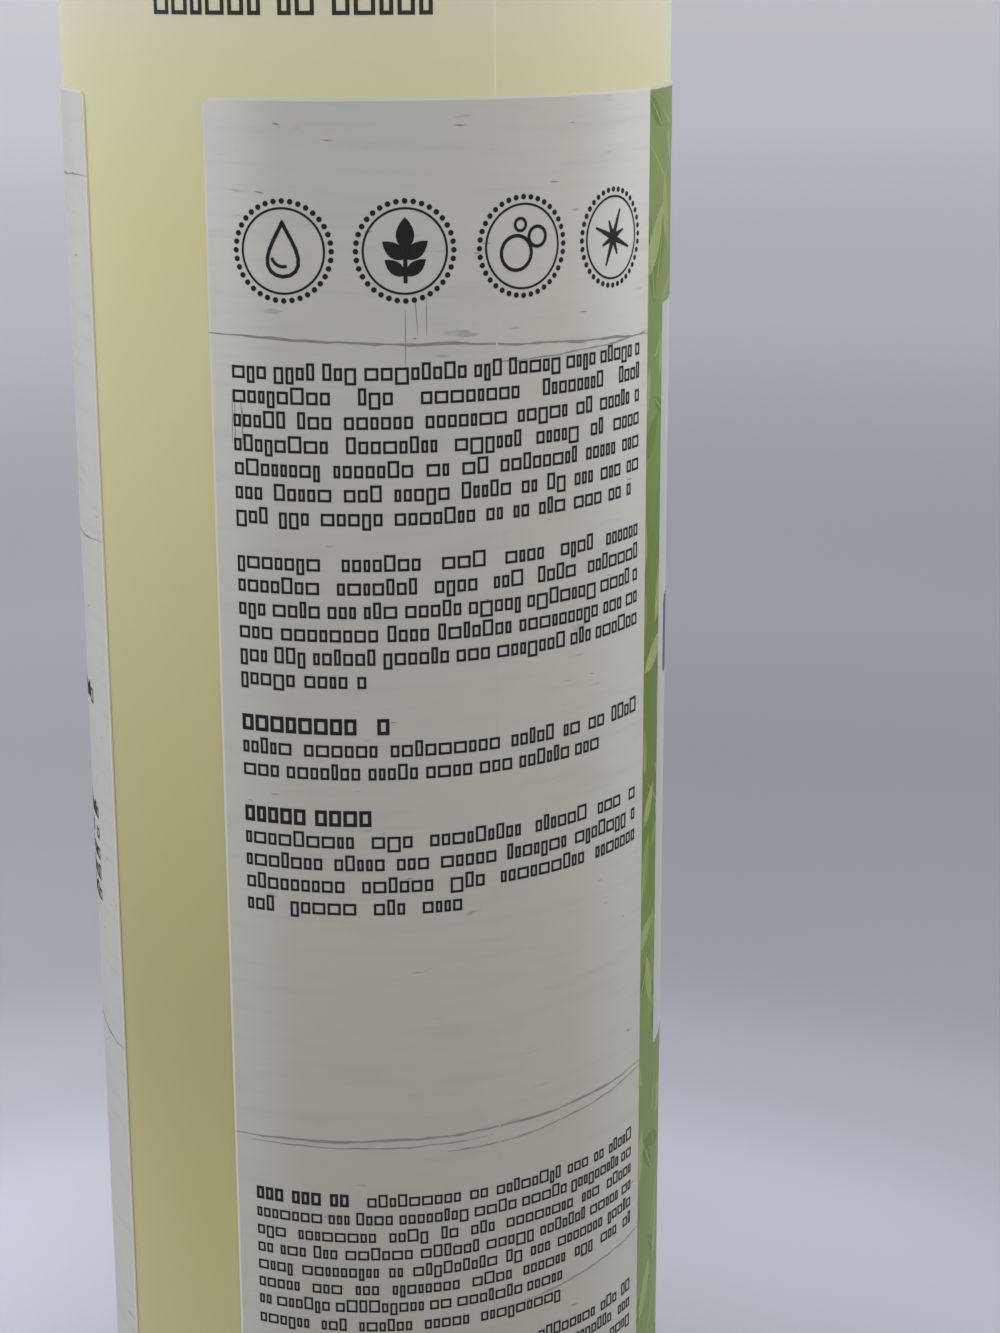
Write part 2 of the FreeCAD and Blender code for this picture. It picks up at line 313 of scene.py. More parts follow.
def printed_film():
    """The label's printed film: pale bark, the green front and its white panel."""
    shader = Shader("printed_film", specular=0.34)
    degrees, height, flat = shader.unrolled()
    turn = shader.math("ABSOLUTE", degrees)
    clouds = shader.noise(flat, 34.0, detail=3.0)
    fibre = shader.noise(shader.stretched(flat, 60.0, 620.0, 1.0), 1.0, detail=4.0, roughness=0.6)
    # Painted shade: the bark is darker towards the bottom and lighter towards the top
    rise = shader.ramp(height, LABEL_BOTTOM, LABEL_TOP)
    bark = shader.mix(rise, linear(172, 167, 152), linear(193, 189, 178))
    # Painted side light: the bark is paler towards the label's cut edges and towards the green
    # front, more so near the top
    cut_edge_light = shader.ramp(turn, LABEL_HALF - 15, LABEL_HALF - 2)
    front_edge_light = shader.ramp(turn, FRONT_HALF + 26, FRONT_HALF + 6)
    edge_light_top = shader.ramp(height, LABEL_TOP - 65 * MM, LABEL_TOP)
    edge_light = shader.math("MAXIMUM", cut_edge_light, front_edge_light)
    painted_edge_light = shader.math("MULTIPLY", edge_light, shader.math("MULTIPLY_ADD", edge_light_top, 0.52, 0.28))
    bark = shader.mix(painted_edge_light, bark, linear(218, 217, 213))
    side = shader.ramp(degrees, FRONT_HALF, FRONT_HALF + 12)
    bark = shader.blend(side, 0.7, bark, linear(201, 201, 199))
    bark = shader.blend(clouds, 0.3, bark, linear(196, 193, 186))
    bark = shader.blend(shader.ramp(fibre, 0.46, 0.74), 0.13, bark, linear(140, 136, 128))
    specks = shader.noise(shader.stretched(flat, 190.0, 760.0, 1.0), 1.0, detail=2.0)
    speck_places = shader.ramp(shader.noise(flat, 70.0, detail=1.0), 0.50, 0.62)
    specks = shader.math("MULTIPLY", shader.ramp(specks, 0.66, 0.74), speck_places)
    bark = shader.blend(specks, 0.42, bark, linear(120, 116, 108))

    deep = between(shader, height, LABEL_TOP - 100 * MM, LABEL_TOP - 48 * MM, 14 * MM)
    field = shader.mix(deep, linear(124, 142, 82), linear(100, 121, 44))
    field = shader.blend(shader.noise(flat, 120.0), 0.4, field, linear(116, 138, 74))
    panel = shader.mix(clouds, linear(206, 208, 206), linear(212, 214, 211))
    # Painted shade: the white panel darkens towards its sides
    panel_side_shade = shader.ramp(turn, PANEL_HALF - 16, PANEL_HALF - 3)
    panel = shader.mix(panel_side_shade, panel, linear(186, 189, 188))

    soft_degrees = 0.04
    front = between(shader, degrees, -FRONT_HALF, FRONT_HALF, soft_degrees)
    across = between(shader, degrees, -PANEL_HALF, PANEL_HALF, soft_degrees)
    upright = between(shader, height, height_at(PANEL_BOTTOM), height_at(PANEL_TOP), 0.03 * MM)
    colour = shader.mix(front, bark, field)
    colour = shader.mix(shader.math("MULTIPLY", across, upright), colour, panel)
    top_rim = shader.ramp(height, LABEL_TOP - 0.34 * MM, LABEL_TOP - 0.22 * MM)
    side_rim = shader.ramp(turn, LABEL_HALF - 0.55, LABEL_HALF - 0.35)
    rim = shader.math("MAXIMUM", top_rim, side_rim)
    shader.colour(shader.blend(rim, 0.75, colour, linear(218, 217, 208)))
    shader.roughness(clouds, 0.46, 0.56)
    paper = shader.noise(flat, 2600.0, detail=2.0)
    ripples = shader.noise(shader.stretched(flat, 70.0, 16.0, 1.0), 1.0, detail=1.0)
    relief = shader.math("MULTIPLY_ADD", ripples, 6.0, paper)
    shader.bump(relief, 0.10, 0.05 * MM)
    return shader.material


def ink(name, dark, light):
    """Printed ink with slightly uneven cover."""
    shader = Shader(name, specular=0.2)
    cover = shader.noise(shader.unrolled()[2], 900.0, detail=3.0)
    shader.colour(shader.mix(cover, dark, light))
    shader.roughness(cover, 0.45, 0.55)
    return shader.material


def moulded_plastic(name, dark, light, roughness):
    """Injection-moulded polypropylene with a fine satin surface."""
    shader = Shader(name)
    place = shader.place()
    clouds = shader.noise(place, 45.0)
    shader.colour(shader.mix(clouds, dark, light))
    shader.roughness(clouds, roughness - 0.05, roughness + 0.05)
    surface = shader.surface
    surface.inputs["Subsurface Weight"].default_value = 0.12
    surface.inputs["Subsurface Radius"].default_value = (1.0, 1.0, 0.9)
    surface.inputs["Subsurface Scale"].default_value = 1.0 * MM
    shader.bump(shader.noise(place, 1800.0), 0.08, 0.03 * MM)
    return shader.material


def foam():
    """Closed-cell foam of the liner."""
    shader = Shader("liner_foam", roughness=0.85, specular=0.3)
    place = shader.place()
    voronoi = shader.node("ShaderNodeTexVoronoi", feature="F1")
    shader.put(voronoi.inputs["Vector"], place)
    voronoi.inputs["Scale"].default_value = 2600.0
    cells = voronoi.outputs["Distance"]
    shader.colour(shader.mix(cells, linear(208, 208, 204), linear(190, 190, 186)))
    shader.bump(cells, 0.4, 0.08 * MM)
    return shader.material


def give(piece, material):
    """Puts one material on a piece."""
    piece.data.materials.clear()
    piece.data.materials.append(material)


def placed(name, mesh):
    """An object in the scene from a finished mesh."""
    data = bpy.data.meshes.new(name)
    mesh.to_mesh(data)
    mesh.free()
    piece = bpy.data.objects.new(name, data)
    bpy.context.scene.collection.objects.link(piece)
    return piece


# Flat shapes on the unrolled label: x is the arc from the front and y the height, in metres

def arc_at(degrees):
    """The arc of an angle from the front."""
    return math.radians(degrees) * LABEL_RADIUS


def back_arc(degrees):
    """The arc of an angle that is counted from the photographed side's middle."""
    return arc_at(degrees + BACK_TURN)


def height_at(radii):
    """The height of a place that is given in label radii from the label's top."""
    return LABEL_TOP + radii * LABEL_RADIUS


def box(left, right, low, high):
    """A plain rectangle."""
    return [(left, low), (right, low), (right, high), (left, high)]


def block(x, y, width, height, cut):
    """A block with bevelled corners, centred on a point."""
    w, h = width / 2, height / 2
    c = min(cut, w * 0.6, h * 0.6)
    return [
        (x - w + c, y - h), (x + w - c, y - h), (x + w, y - h + c), (x + w, y + h - c),
        (x + w - c, y + h), (x - w + c, y + h), (x - w, y + h - c), (x - w, y - h + c),
    ]


def stroke(points, widths, closed=False):
    """Four-sided pieces along a line, whose width is given at each point."""
    last = len(points) - 1
    rims = []
    for i, (x, y) in enumerate(points):
        before = points[i - 1 if i or closed else 0]
        after = points[(i + 1) % len(points) if closed else min(i + 1, last)]
        along = Vector((after[0] - before[0], after[1] - before[1])).normalized()
        side = Vector((-along.y, along.x)) * (widths[i] / 2)
        rims.append(((x + side.x, y + side.y), (x - side.x, y - side.y)))
    if closed:
        rims.append(rims[0])
    return [[a[1], b[1], b[0], a[0]] for a, b in zip(rims, rims[1:])]


def ring(x, y, radius, width, start=0.0, end=360.0, steps=56):
    """A round line, or an arc of one, in degrees from the right."""
    closed = end - start == 360
    count = max(3, round(steps * abs(end - start) / 360))
    points = []
    for i in range(count + (0 if closed else 1)):
        angle = math.radians(start + (end - start) * i / count)
        points.append((x + radius * math.cos(angle), y + radius * math.sin(angle)))
    return stroke(points, [width] * len(points), closed)


def leaf(x, y, length, width, turn, steps=7):
    """A pointed leaf whose stalk end is at a point; turn is in degrees from upright."""
    tilt = math.radians(turn)
    along = Vector((-math.sin(tilt), math.cos(tilt)))
    across = Vector((along.y, -along.x))
    right, left = [], []
    for i in range(steps + 1):
        share = i / steps
        bulge = width / 2 * math.sin(math.pi * share) ** 0.8 * (1.12 - 0.3 * share)
        spine = Vector((x, y)) + along * (length * share)
        if 0 < i < steps:
            right.append(tuple(spine + across * bulge))
            left.append(tuple(spine - across * bulge))
        else:
            right.append(tuple(spine))
    return right + left[::-1]


def mark(rng, y, size, bold):
    """One small box of a line of print, with its left edge at 0: its shapes and its width."""
    pen = (0.42 if bold else 0.29) * size
    widths = (1.15, 1.25, 1.40, 1.60) if bold else (0.78, 0.92, 1.02, 1.12, 1.30, 1.56)
    low, high = y - 0.72 * size, y + 0.72 * size
    chance = rng.random()
    if bold or chance < 0.16:
        high = y + 1.22 * size
    elif chance < 0.24:
        low = y - 1.20 * size
    wide = rng.choice(widths) * size
    shapes = [box(left, left + pen, low, high) for left in (0.0, wide - pen)]
    shapes += [box(pen, wide - pen, bottom, bottom + pen) for bottom in (low, high - pen)]
    return shapes, wide


def print_line(rng, start, end, y, size, bold=False):
    """A line of small boxes in groups, which stands for a line of small print."""
    gap = 0.26 * size
    space = (0.95 if bold else rng.choice((0.8, 1.0, 1.3, 1.8, 2.5))) * size
    counts = (3, 5, 8) if bold else (2, 3, 3, 4, 5, 5, 6, 7, 8, 9)
    words = []
    used = -space
    while used < end - start:
        words.append([mark(rng, y, size, bold) for _ in range(rng.choice(counts))])
        used += sum(wide for _, wide in words[-1]) + gap * (len(words[-1]) - 1) + space
    while used > end - start:
        _, wide = words[-1].pop()
        used -= wide + (gap if words[-1] else space)
        if not words[-1]:
            words.pop()
    if len(words) > 1:
        space += (end - start - used) / (len(words) - 1)
    shapes = []
    x = start
    for marks in words:
        for pieces, wide in marks:
            shapes += [[(px + x, py) for px, py in piece] for piece in pieces]
            x += wide + gap
        x += space - gap
    return shapes


def paragraph(rng, start, end, first, count, last_end, size=TEXT_SIZE, pitch=TEXT_PITCH):
    """Lines of small print from a first height down, in label radii."""
    shapes = []
    for i in range(count):
        stop = last_end if i == count - 1 else end
        y = height_at(first - i * pitch)
        shapes += print_line(rng, start, stop, y, size)
    return shapes


def back_text(rng):
    """The photographed panel's print: four paragraphs, two under a bold head, and fine print."""
    left, right = back_arc(-25.2), back_arc(58.5)
    shapes = paragraph(rng, left, right, -0.812, 7, back_arc(55.6))
    shapes += paragraph(rng, left, right, -1.402, 6, back_arc(-2.0))
    shapes += print_line(rng, left, back_arc(2.0), height_at(-1.925), TEXT_SIZE, bold=True)
    shapes += paragraph(rng, left, right, -1.998, 2, back_arc(45.7))
    shapes += print_line(rng, left, back_arc(-1.5), height_at(-2.226), TEXT_SIZE, bold=True)
    shapes += paragraph(rng, left, right, -2.299, 4, back_arc(15.0))
    fine_top = height_at(-3.545)
    shapes += print_line(rng, left, back_arc(-7.0), fine_top, FINE_SIZE, bold=True)
    shapes += print_line(rng, back_arc(-3.5), right, fine_top, FINE_SIZE)
    shapes += paragraph(rng, left, right, -3.609, 6, back_arc(36.5), FINE_SIZE, FINE_PITCH)
    shapes += print_line(rng, left, back_arc(36.0), height_at(-3.997), FINE_SIZE)
    shapes += paragraph(rng, left, right, -4.125, 4, back_arc(22.0), FINE_SIZE, FINE_PITCH)
    return shapes


def side_text(rng):
    """The print of the panel on the other side of the window strip."""
    left, right = arc_at(79.0), arc_at(152.5)
    shapes = print_line(rng, left, arc_at(112.0), height_at(-1.925), TEXT_SIZE, bold=True)
    shapes += paragraph(rng, left, right, -2.000, 2, arc_at(131.0))
    shapes += print_line(rng, left, arc_at(104.0), height_at(-2.347), TEXT_SIZE, bold=True)
    shapes += paragraph(rng, left, right, -2.421, 6, arc_at(140.0))
    return shapes


def drop(x, y, size, steps=20):
    """A drop with its point up, centred on a point."""
    points = []
    for i in range(steps):
        angle = 2 * math.pi * i / steps
        wide = math.sin(angle) * math.sin(angle / 2) ** 1.6
        points.append((x + size * 0.86 * wide, y + size * math.cos(angle)))
    return points[::-1]


def outlined(points, width):
    """A closed line round a shape."""
    return stroke(points, [width] * len(points), closed=True)


def drop_motif(x, y):
    """A drop with a shine inside it."""
    shapes = outlined(drop(x, y + 0.2 * MM, 3.0 * MM), 0.42 * MM)
    return shapes + ring(x, y - 0.4 * MM, 1.30 * MM, 0.36 * MM, 195, 290)


def sprig_motif(x, y):
    """A stem with one leaf at its top and two pairs below."""
    shapes = stroke([(x, y - 3.5 * MM), (x, y + 0.6 * MM)], [0.46 * MM] * 2)
    shapes.append(leaf(x, y, 3.7 * MM, 2.1 * MM, 0))
    for turn in (-52, 52):
        shapes.append(leaf(x, y - 0.9 * MM, 3.2 * MM, 1.7 * MM, turn))
        shapes.append(leaf(x, y - 2.7 * MM, 2.9 * MM, 1.5 * MM, turn))
    return shapes


def bubbles_motif(x, y):
    """Three bubbles of different sizes."""
    shapes = ring(x - 0.9 * MM, y - 0.7 * MM, 1.90 * MM, 0.40 * MM)
    shapes += ring(x + 1.8 * MM, y + 1.0 * MM, 1.10 * MM, 0.38 * MM)
    shapes += ring(x - 0.4 * MM, y + 2.4 * MM, 0.68 * MM, 0.34 * MM)
    return shapes


def star_motif(x, y):
    """Four crossed strokes that shine from a point."""
    size = 3.4 * MM
    width = 0.80 * MM
    shapes = []
    for turn in range(4):
        angle = math.radians(45 * turn + 22.5)
        reach = size if turn % 2 else size * 0.62
        tip = Vector((math.cos(angle), math.sin(angle))) * reach
        ends = [(x - tip.x, y - tip.y), (x, y), (x + tip.x, y + tip.y)]
        shapes += stroke(ends, [width * 0.3, width, width * 0.3])
    return shapes


def beads(x, y, radius, count=36):
    """Round beads along a circle."""
    shapes = []
    for bead in range(count):
        angle = math.radians(bead * 360 / count)
        at = (x + radius * math.cos(angle), y + radius * math.sin(angle))
        shapes.append(block(*at, 0.60 * MM, 0.60 * MM, 0.18 * MM))
    return shapes


def badges():
    """Four round badges in a row, each with a motif in a beaded ring."""
    y = height_at(BADGE_ROW)
    motifs = ((-15.2, drop_motif), (5.9, sprig_motif), (27.5, bubbles_motif), (48.9, star_motif))
    shapes = []
    for degrees, motif in motifs:
        x = back_arc(degrees)
        shapes += ring(x, y, BADGE_RADIUS, 0.25 * MM)
        shapes += beads(x, y, 1.17 * BADGE_RADIUS)
        shapes += motif(x, y)
    return shapes


def lot_marks(rng):
    """Ink-jet marks on the wall over the label: hollow boxes in groups."""
    pen = 0.46 * MM
    tall = 3.1 * MM
    low = height_at(0.237)
    high = low + tall
    shapes = []
    x = back_arc(-39.5)
    left_in_group = 6
    while x < back_arc(9.6):
        width = rng.choice((1.5, 1.9, 2.1, 2.3)) * MM
        for side in (x + pen / 2, x + width - pen / 2):
            shapes.append(block(side, (low + high) / 2, pen, tall, 0.03 * MM))
        for bottom in (low, high - pen):
            shapes.append(box(x + pen, x + width - pen, bottom, bottom + pen))
        left_in_group -= 1
        x += width + 0.45 * MM
        if not left_in_group:
            x += 1.5 * MM
            left_in_group = rng.choice((2, 5, 7))
    return shapes


def cracks(rng):
    """Thin wandering cracks of the bark across both pale panels."""
    back = (back_arc(-29.6), back_arc(62.3))
    side = (arc_at(FRONT_HALF), arc_at(LABEL_HALF))
    # Panel, shares across it, heights in label radii at both ends, and fineness in millimetres
    lines = [
        (back, 0.00, 1.00, -0.700, -0.772, 0.24),
        (back, 0.52, 1.00, -0.795, -0.765, 0.14),
        (back, 0.00, 1.00, -3.338, -3.292, 0.24),
        (back, 0.04, 0.55, -3.352, -3.342, 0.12),
        (back, 0.45, 1.00, -3.378, -3.312, 0.16),
        (back, 0.62, 1.00, -3.972, -3.925, 0.20),
        (back, 0.00, 0.30, -4.560, -4.575, 0.16),
        (side, 0.20, 1.00, -0.300, -0.262, 0.18),
        (side, 0.00, 0.55, -0.980, -1.025, 0.20),
        (side, 0.45, 1.00, -1.480, -1.430, 0.16),
        (side, 0.00, 1.00, -3.130, -3.215, 0.22),
        (side, 0.30, 0.80, -3.900, -3.880, 0.14),
    ]
    shapes = []
    for (left, right), start, end, start_radii, end_radii, width in lines:
        steps = max(6, int(46 * (end - start)))
        sway = 0.0
        points, widths = [], []
        for i in range(steps + 1):
            share = i / steps
            sway = 0.82 * sway + rng.uniform(-0.10, 0.10) * MM
            x = left + (right - left) * (start + (end - start) * share)
            y = height_at(start_radii + (end_radii - start_radii) * share ** 1.3) + sway
            points.append((x, y))
            taper = min(1.0, 6 * share + 0.25, 6 * (1 - share) + 0.25)
            widths.append(1.5 * width * MM * taper * rng.uniform(0.35, 1.15))
        shapes += stroke(points, widths)
    return shapes


def flecks(rng):
    """Short dark dashes of the bark, scattered over both pale panels."""
    back = (back_arc(-29.3), back_arc(62.0))
    side = (arc_at(FRONT_HALF + 0.5), arc_at(LABEL_HALF - 0.5))
    shapes = []
    for left, right in (back, side):
        for _ in range(38):
            x = rng.uniform(left + 1.5 * MM, right - 1.5 * MM)
            y = rng.uniform(LABEL_BOTTOM + 2 * MM, LABEL_TOP - 2 * MM)
            length = rng.uniform(0.3, 1.3) * MM
            lean = rng.uniform(-0.25, 0.25)
            points = [(x + length * t, y + length * t * lean) for t in (-0.5, -0.15, 0.2, 0.5)]
            widths = [w * MM * rng.uniform(0.5, 1.0) for w in (0.05, 0.18, 0.15, 0.04)]
            shapes += stroke(points, widths)
    return shapes


def scuffs(rng):
    """Faint upright hairlines where the film was rubbed, in three small patches."""
    patches = ((back_arc(-23.0), -0.86, 4), (back_arc(8.0), -0.55, 3), (arc_at(140.0), -1.60, 4))
    shapes = []
    for middle, top, count in patches:
        for _ in range(count):
            x = middle + rng.uniform(-1.6, 1.6) * MM
            high = height_at(top) - rng.uniform(0.0, 3.0) * MM
            length = rng.uniform(2.0, 7.0) * MM
            drift = rng.uniform(-0.3, 0.3) * MM
            points = [(x + drift * t, high - length * t) for t in (0.0, 0.35, 0.7, 1.0)]
            shapes += stroke(points, [w * MM for w in (0.03, 0.10, 0.09, 0.03)])
    return shapes


def meadow(rng):
    """Overlapping leaves over the green front, as three lists of leaves and one of veins."""
    tints = ([], [], [])
    veins = []
    step = 5.6 * MM
    columns = int(2 * arc_at(FRONT_HALF) / step) + 2
    rows = int((LABEL_TOP - LABEL_BOTTOM) / step) + 2
    for column in range(columns):
        for row in range(rows):
            x = -arc_at(FRONT_HALF) + (column + rng.uniform(-0.45, 0.45)) * step
            y = LABEL_BOTTOM + (row - 0.5 + rng.uniform(-0.45, 0.45)) * step
            length = rng.uniform(5.5, 11.0) * MM
            turn = rng.choice((-1, 1)) * rng.uniform(6, 70)
            width = length * rng.uniform(0.24, 0.36)
            tints[(column + 2 * row) % 3].append(leaf(x, y, length, width, turn))
            if rng.random() < 0.6:
                tilt = math.radians(turn)
                along = Vector((-math.sin(tilt), math.cos(tilt))) * length
                points = [(x + along.x * t, y + along.y * t) for t in (0.05, 0.5, 0.93)]
                veins += stroke(points, [0.20 * MM, 0.16 * MM, 0.06 * MM])
    return (*tints, veins)


def front_marks():
    """The front panel's plain marks: a dark band and two short bars under it."""
    band_top, band_bottom = height_at(BAND_TOP), height_at(BAND_BOTTOM)
    middle = (band_top + band_bottom) / 2
    shapes = [block(0.0, middle, 2 * arc_at(57.0), band_top - band_bottom, 0.8 * MM)]
    shapes.append(block(0.0, band_bottom - 6.5 * MM, 44 * MM, 2.2 * MM, 1.0 * MM))
    shapes.append(block(0.0, band_bottom - 11.5 * MM, 28 * MM, 1.8 * MM, 0.8 * MM))
    return shapes


def front_sprig():
    """A plain sprig over the front panel's band."""
    base = height_at(-1.58)
    stem = [(0.0, base), (0.4 * MM, base + 12 * MM), (0.0, base + 22 * MM)]
    shapes = stroke(stem, [0.9 * MM, 0.7 * MM, 0.4 * MM])
    shapes.append(leaf(0.0, base + 20 * MM, 8 * MM, 3.6 * MM, 0))
    for step, turn in ((3, 58), (9, 50), (15, 42)):
        for side in (-1, 1):
            shapes.append(leaf(side * 0.5 * MM, base + step * MM, 9.5 * MM, 3.8 * MM, side * turn))
    return shapes


# Pieces that are wrapped round the wall

def clipped(mesh, low_x, high_x, low_y, high_y):
    """Cuts away what lies outside a rectangle of the unrolled label."""
    planes = (
        ((low_x, 0, 0), (-1, 0, 0)), ((high_x, 0, 0), (1, 0, 0)),
        ((0, low_y, 0), (0, -1, 0)), ((0, high_y, 0), (0, 1, 0)),
    )
    for point, normal in planes:
        geometry = mesh.verts[:] + mesh.edges[:] + mesh.faces[:]
        bmesh.ops.bisect_plane(
            mesh, geom=geometry, plane_co=point, plane_no=normal, clear_outer=True
        )


def flat_mesh(shapes, window=None, step=0.0):
    """A flat mesh of closed shapes, cut to a window; a step puts neighbours at other depths."""
    mesh = bmesh.new()
    for index, shape in enumerate(shapes):
        depth = -(index % 7) * step
        mesh.faces.new([mesh.verts.new((x, y, depth)) for x, y in shape])
    if not step:
        bmesh.ops.remove_doubles(mesh, verts=mesh.verts[:], dist=1e-8)
    if window:
        clipped(mesh, *window)
    return mesh


def stations(mesh, places, axis=0):
    """Cuts a flat mesh across at each place, so that it can follow the round wall."""
    normal = (1, 0, 0) if axis == 0 else (0, 1, 0)
    for place in places:
        point = (place, 0, 0) if axis == 0 else (0, place, 0)
        geometry = mesh.verts[:] + mesh.edges[:] + mesh.faces[:]
        bmesh.ops.bisect_plane(mesh, geom=geometry, plane_co=point, plane_no=normal)


def even_places(low, high, step):
    """The multiples of a step that lie between two places."""
    first = math.ceil(low / step)
    return [i * step for i in range(first, math.floor(high / step) + 1)]


def thickened(mesh, thickness):
    """Closes a rolled sheet to a solid by a second sheet inside it and walls round its edges."""
    outer = mesh.faces[:]
    rims = [edge.link_loops[0] for edge in mesh.edges if edge.is_boundary]
    rims = [(loop.vert, loop.link_loop_next.vert) for loop in rims]
    inner = {}
    for vertex in mesh.verts[:]:
        reach = math.hypot(vertex.co.x, vertex.co.y)
        share = (reach - thickness) / reach
        inner[vertex] = mesh.verts.new((vertex.co.x * share, vertex.co.y * share, vertex.co.z))
    for face in outer:
        mesh.faces.new([inner[vertex] for vertex in reversed(face.verts[:])])
    for first, second in rims:
        mesh.faces.new((second, first, inner[first], inner[second]))


def wrap(name, mesh, radius, thickness, material, lift=None):
    """Rolls a flat mesh onto a round wall as a thin solid that rides on the bottle."""
    for vertex in mesh.verts:
        angle = vertex.co.x / LABEL_RADIUS
        reach = radius + vertex.co.z + (lift(vertex.co.x) if lift else 0.0)
        vertex.co = Vector((reach * math.sin(angle), -reach * math.cos(angle), vertex.co.y))
    thickened(mesh, thickness)
    mesh.normal_update()
    piece = placed(name, mesh)
    piece.data.polygons.foreach_set("use_smooth", [True] * len(piece.data.polygons))
    piece.data.set_sharp_from_angle(angle=math.radians(35))
    give(piece, material)
    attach(piece, "bottle")
    return piece


def print_piece(name, shapes, depth, material, windows=(None,), step=0.0):
    """A layer of print on the label's film."""
    whole = bmesh.new()
    for window in windows:
        part = flat_mesh(shapes, window, step)
        data = bpy.data.meshes.new("part")
        part.to_mesh(data)
        part.free()
        whole.from_mesh(data)
        bpy.data.meshes.remove(data)
    span = [v.co.x for v in whole.verts]
    stations(whole, even_places(min(span), max(span), 1.6 * MM))
    thickness = FILM_DEPTH - depth + PRINT_ROOT
    return wrap(name, whole, LABEL_RADIUS - depth, thickness, material)


def label_outline():
    """The label's flat outline, a rectangle with rounded corners."""
    right = arc_at(LABEL_HALF) - LABEL_CORNER
    high, low = LABEL_TOP - LABEL_CORNER, LABEL_BOTTOM + LABEL_CORNER
    points = []
    for quarter, (x, y) in enumerate(((right, high), (-right, high), (-right, low), (right, low))):
        for i in range(7):
            angle = math.radians(90 * quarter + 15 * i)
            at = (x + LABEL_CORNER * math.cos(angle), y + LABEL_CORNER * math.sin(angle))
            points.append(at)
    return points


def parting_relief(x):
    """How far the wall's parting line pushes the film out."""
    relief = 0.0
    for degrees in PARTING_ANGLES:
        away = (x - arc_at(degrees)) / (0.34 * MM)
        relief += 0.022 * MM * math.exp(-away * away)
    return relief


def label_film(material):
    """The label itself, which replaces the plain solid."""
    mesh = flat_mesh([label_outline()])
    edge = arc_at(LABEL_HALF)
    places = even_places(-edge, edge, arc_at(1.5))
    for degrees in PARTING_ANGLES:
        places += [arc_at(degrees) + k * 0.17 * MM for k in range(-4, 5)]
    stations(mesh, sorted(places))
    stations(mesh, even_places(LABEL_BOTTOM, LABEL_TOP, 8 * MM), axis=1)
    radius = LABEL_RADIUS - FILM_DEPTH
    piece = wrap(
        "label_film", mesh, radius, FILM_THICKNESS, material, lift=parting_relief
    )
    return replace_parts(piece, "wrap_label")


def dress_label():
    """The film and every layer of print on it."""
    rng = random.Random(28)
    label_film(printed_film())
    dark_ink = ink("dark_ink", linear(28, 26, 24), linear(38, 36, 33))
    crack_ink = ink("crack_ink", linear(126, 122, 114), linear(154, 150, 142))
    print_piece("back_print", back_text(rng), INK_DEPTH, dark_ink)
    print_piece("side_print", side_text(rng), INK_DEPTH, dark_ink)
    print_piece("badge_print", badges(), INK_DEPTH, dark_ink)
    wear = cracks(rng) + flecks(rng) + scuffs(rng)
    print_piece("bark_cracks", wear, LEAF_DEPTHS[2], crack_ink)
    front, panel = arc_at(FRONT_HALF), arc_at(PANEL_HALF)
    panel_top, panel_bottom = height_at(PANEL_TOP), height_at(PANEL_BOTTOM)
    margin = 0.3 * MM
    windows = (
        (-front, front, panel_top, LABEL_TOP - margin),
        (-front, front, LABEL_BOTTOM + margin, panel_bottom),
        (-front, -panel, panel_bottom, panel_top),
        (panel, front, panel_bottom, panel_top),
    )
    tints = (
        ("leaves_dark", linear(102, 125, 56), linear(110, 132, 64)),
        ("leaves_mid", linear(124, 145, 72), linear(130, 151, 80)),
        ("leaves_light", linear(144, 162, 98), linear(150, 167, 106)),
        ("leaf_veins", linear(160, 176, 122), linear(168, 182, 132)),
    )
    layers = meadow(random.Random(7))
    for shapes, depth, (name, dark, light) in zip(layers, LEAF_DEPTHS, tints):
        print_piece(name, shapes, depth, ink(name, dark, light), windows, LEAF_STEP)
    band = ink("slate_ink", linear(84, 92, 104), linear(92, 100, 112))
    print_piece("front_bars", front_marks(), INK_DEPTH, band)
    sprig = ink("sprig_ink", linear(106, 131, 62), linear(114, 138, 70))
    print_piece("front_sprig", front_sprig(), INK_DEPTH, sprig)


def dress_wall():
    """The ink-jet marks sit on the bottle's own wall."""
    mesh = flat_mesh(lot_marks(random.Random(5)))
    jet_ink = ink("jet_ink", linear(42, 42, 40), linear(60, 60, 56))
    radius = BODY_RADIUS + 0.02 * MM
    wrap("lot_marks", mesh, radius, 0.04 * MM, jet_ink)


def dress_solids():
    """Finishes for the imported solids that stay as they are."""
    cap_shades = (linear(194, 194, 190), linear(201, 201, 197))
    spout_shades = (linear(198, 198, 194), linear(204, 204, 200))
    finishes = {
        "bottle": milky_plastic(),
        "dish_soap": soap_liquid(),
        "cap_liner": foam(),
        "screw_cap": moulded_plastic("cap_plastic", *cap_shades, 0.44),
        "pull_spout": moulded_plastic("spout_plastic", *spout_shades, 0.40),
    }
    for node, material in finishes.items():
        give(frame["nodes"][node], material)


# Stage

# Distance from the bottle's axis in metres, and the floor's colour there: a painted pool of light
# near the bottle, a painted darker ring of shade round it, and paler far away
FLOOR_LIGHT_TONES = (
    (0.050, linear(192, 195, 206)), (0.100, linear(196, 200, 211)), (0.145, linear(178, 181, 190)),
    (0.200, linear(161, 165, 171)), (0.330, linear(160, 163, 169)), (0.520, linear(172, 176, 182)),
    (1.300, linear(220, 224, 230)), (3.000, linear(240, 243, 249)), (9.000, linear(247, 249, 254)),
)

# The floor's rings, as radii in metres
FLOOR_RADII = (0.0005, *(0.05 * 2 ** k for k in range(9)), 26.0)

